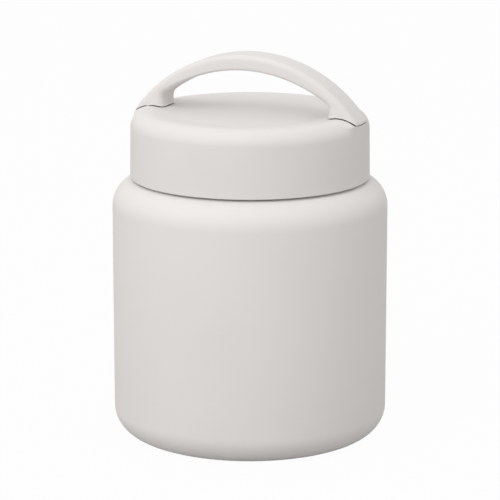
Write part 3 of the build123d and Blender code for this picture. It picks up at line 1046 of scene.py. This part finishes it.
def pressed_silicone_rubber():
    """Compression-moulded silicone: milky white, soft sheen, faintly uneven."""
    settings = {
        "Base Color": linear("#ECEBE7"),
        "Roughness": 0.45,
        "IOR": 1.41,
        "Subsurface Weight": 0.3,
        "Subsurface Scale": 1.5 * mm,
    }
    material, shader, place = start_material("pressed_silicone_rubber", settings)
    bloom = add_node(material, "TexNoise", {"Scale": 1 / (1.2 * mm), "Detail": 4.0}, {"Vector": place})
    finish_surface(material, shader, bloom.outputs["Fac"], depth=0.008, rough_range=(0.36, 0.54))
    return material


silicone_rubber = pressed_silicone_rubber()
ring_low, ring_high = (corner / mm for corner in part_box("lid_gasket"))
ring_inside = 30.38
web_radius = 31.78
lip = 0.8
lip_tip = 0.4
tip_round = 0.12

ring = half_section(
    [
        (ring_inside, ring_low.z, 0),
        (web_radius, ring_low.z, 0),
        (ring_high.x, ring_low.z + lip - lip_tip, tip_round),
        (ring_high.x, ring_low.z + lip, tip_round),
        (web_radius, ring_low.z + lip, 0),
        (web_radius, ring_high.z - lip, 0),
        (ring_high.x, ring_high.z - lip_tip, tip_round),
        (ring_high.x, ring_high.z, tip_round),
        (ring_inside, ring_high.z, 0),
    ]
)
turn(ring)
make_piece(ring, "lipped_gasket", [silicone_rubber], "seal_ring", "silicone", "lid_gasket")

# ---------------------------------------------------------------- vent valve
# Silicone button snapped through the plug's floor. Its rim lets air in when cooling food pulls on the lid.

valve_low, valve_high = (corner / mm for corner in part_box("vent_valve"))
valve_neck = 3.95
button_radius = 5.6
valve_edge = 0.5

valve = half_section(
    [
        (0, valve_low.z, 0),
        (valve_high.x, valve_low.z, valve_edge),
        (valve_high.x, plug_foot, 0),
        (valve_neck, plug_foot, 0),
        (valve_neck, plug_floor, 0),
        (button_radius, plug_floor, 0),
        (button_radius, valve_high.z, valve_edge),
        (0, valve_high.z, 0),
    ]
)
turn(valve, sectors=((360, 96),))
make_piece(valve, "vent_valve_button", [silicone_rubber], "lid", "silicone", "vent_valve")

# ---------------------------------------------------------------- stage, light and camera
# Seamless white paper in a bright room, with two large softboxes in front: a weak low one at the left and a
# stronger one overhead. A long lens looks down on the jar a little from the right.

stage_colour = linear("#FFFFFF")
paper_glow = 0.97  # share of plain white in what the camera, mirrors and glass see of the paper
floor_reach = 6.0
floor_drop = 0.05 * mm  # keeps the paper clear of the face that the jar stands on
studio_strength = 0.85
softbox_distance = 1.4
softbox_size = 0.9
softbox_aim = 0.065  # height on the axis that the softboxes face
camera_distance = 0.9
camera_aim = 0.06219  # height on the axis that the camera looks at


def white_paper():
    """Seamless paper. The camera, mirrors and glass see it near white, and it still takes a soft shadow."""
    settings = {"Base Color": linear("#B3B2B0"), "Roughness": 0.9}
    material, shader = start_material("white_paper", settings)[:2]
    path = add_node(material, "LightPath")
    seen = path.outputs["Is Camera Ray"]
    for ray in ("Is Glossy Ray", "Is Transmission Ray"):
        either = add_node(material, "Math", {"operation": "MAXIMUM"}, {0: seen, 1: path.outputs[ray]})
        seen = either.outputs[0]
    share = add_node(material, "Math", {"operation": "MULTIPLY", 1: paper_glow}, {0: seen})
    glow = add_node(material, "Emission", {"Color": stage_colour, "Strength": 1.0})
    shaders = {0: share.outputs[0], 1: shader.outputs[0], 2: glow.outputs[0]}
    mix = add_node(material, "MixShader", {}, shaders)
    surface = material.node_tree.nodes["Material Output"].inputs["Surface"]
    material.node_tree.links.new(mix.outputs[0], surface)
    return material


floor_mesh = bmesh.new()
bmesh.ops.create_grid(floor_mesh, x_segments=2, y_segments=2, size=floor_reach)
floor_data = bpy.data.meshes.new("floor")
floor_mesh.to_mesh(floor_data)
floor_mesh.free()
floor_data.materials.append(white_paper())
floor_data.transform(Matrix.Translation((0, 0, -floor_drop)))
floor = bpy.data.objects.new("floor", floor_data)
bpy.context.scene.collection.objects.link(floor)

world = bpy.data.worlds.new("studio")
bpy.context.scene.world = world
world.use_nodes = True
studio = world.node_tree.nodes["Background"]
studio.inputs["Color"].default_value = stage_colour
studio.inputs["Strength"].default_value = studio_strength
path = add_node(world, "LightPath")
backdrop = add_node(world, "Background", {"Strength": 1.0})
shaders = {0: path.outputs["Is Camera Ray"], 1: studio.outputs[0], 2: backdrop.outputs[0]}
chooser = add_node(world, "MixShader", {}, shaders)
world.node_tree.links.new(chooser.outputs[0], world.node_tree.nodes["World Output"].inputs["Surface"])


def aim_at_axis(thing, azimuth, elevation, distance, height):
    """Puts a lamp or camera at a distance from a point of the axis, and turns it to that point.

    Azimuth 0 is in front, and positive goes to the right.
    """
    turn_by, up = radians(azimuth), radians(elevation)
    aim = Vector((0, 0, height))
    thing.location = aim + distance * Vector((sin(turn_by) * cos(up), -cos(turn_by) * cos(up), sin(up)))
    thing.rotation_euler = (aim - thing.location).to_track_quat("-Z", "Y").to_euler()


def add_softbox(name, azimuth, elevation, watts):
    """A square white softbox that faces the jar."""
    light = bpy.data.lights.new(name, "AREA")
    light.shape = "SQUARE"
    light.size = softbox_size
    light.energy = watts
    lamp = bpy.data.objects.new(name, light)
    bpy.context.scene.collection.objects.link(lamp)
    aim_at_axis(lamp, azimuth, elevation, softbox_distance, softbox_aim)


add_softbox("key", azimuth=-25, elevation=25, watts=2.6)
add_softbox("front", azimuth=-3, elevation=50, watts=5.8)

camera_data = bpy.data.cameras.new("camera")
camera_data.sensor_width = 36
camera_data.lens = 192.67
camera = bpy.data.objects.new("camera", camera_data)
bpy.context.scene.collection.objects.link(camera)
aim_at_axis(camera, azimuth=22, elevation=13.2325, distance=camera_distance, height=camera_aim)
bpy.context.scene.camera = camera
bpy.context.scene.view_settings.view_transform = "Standard"
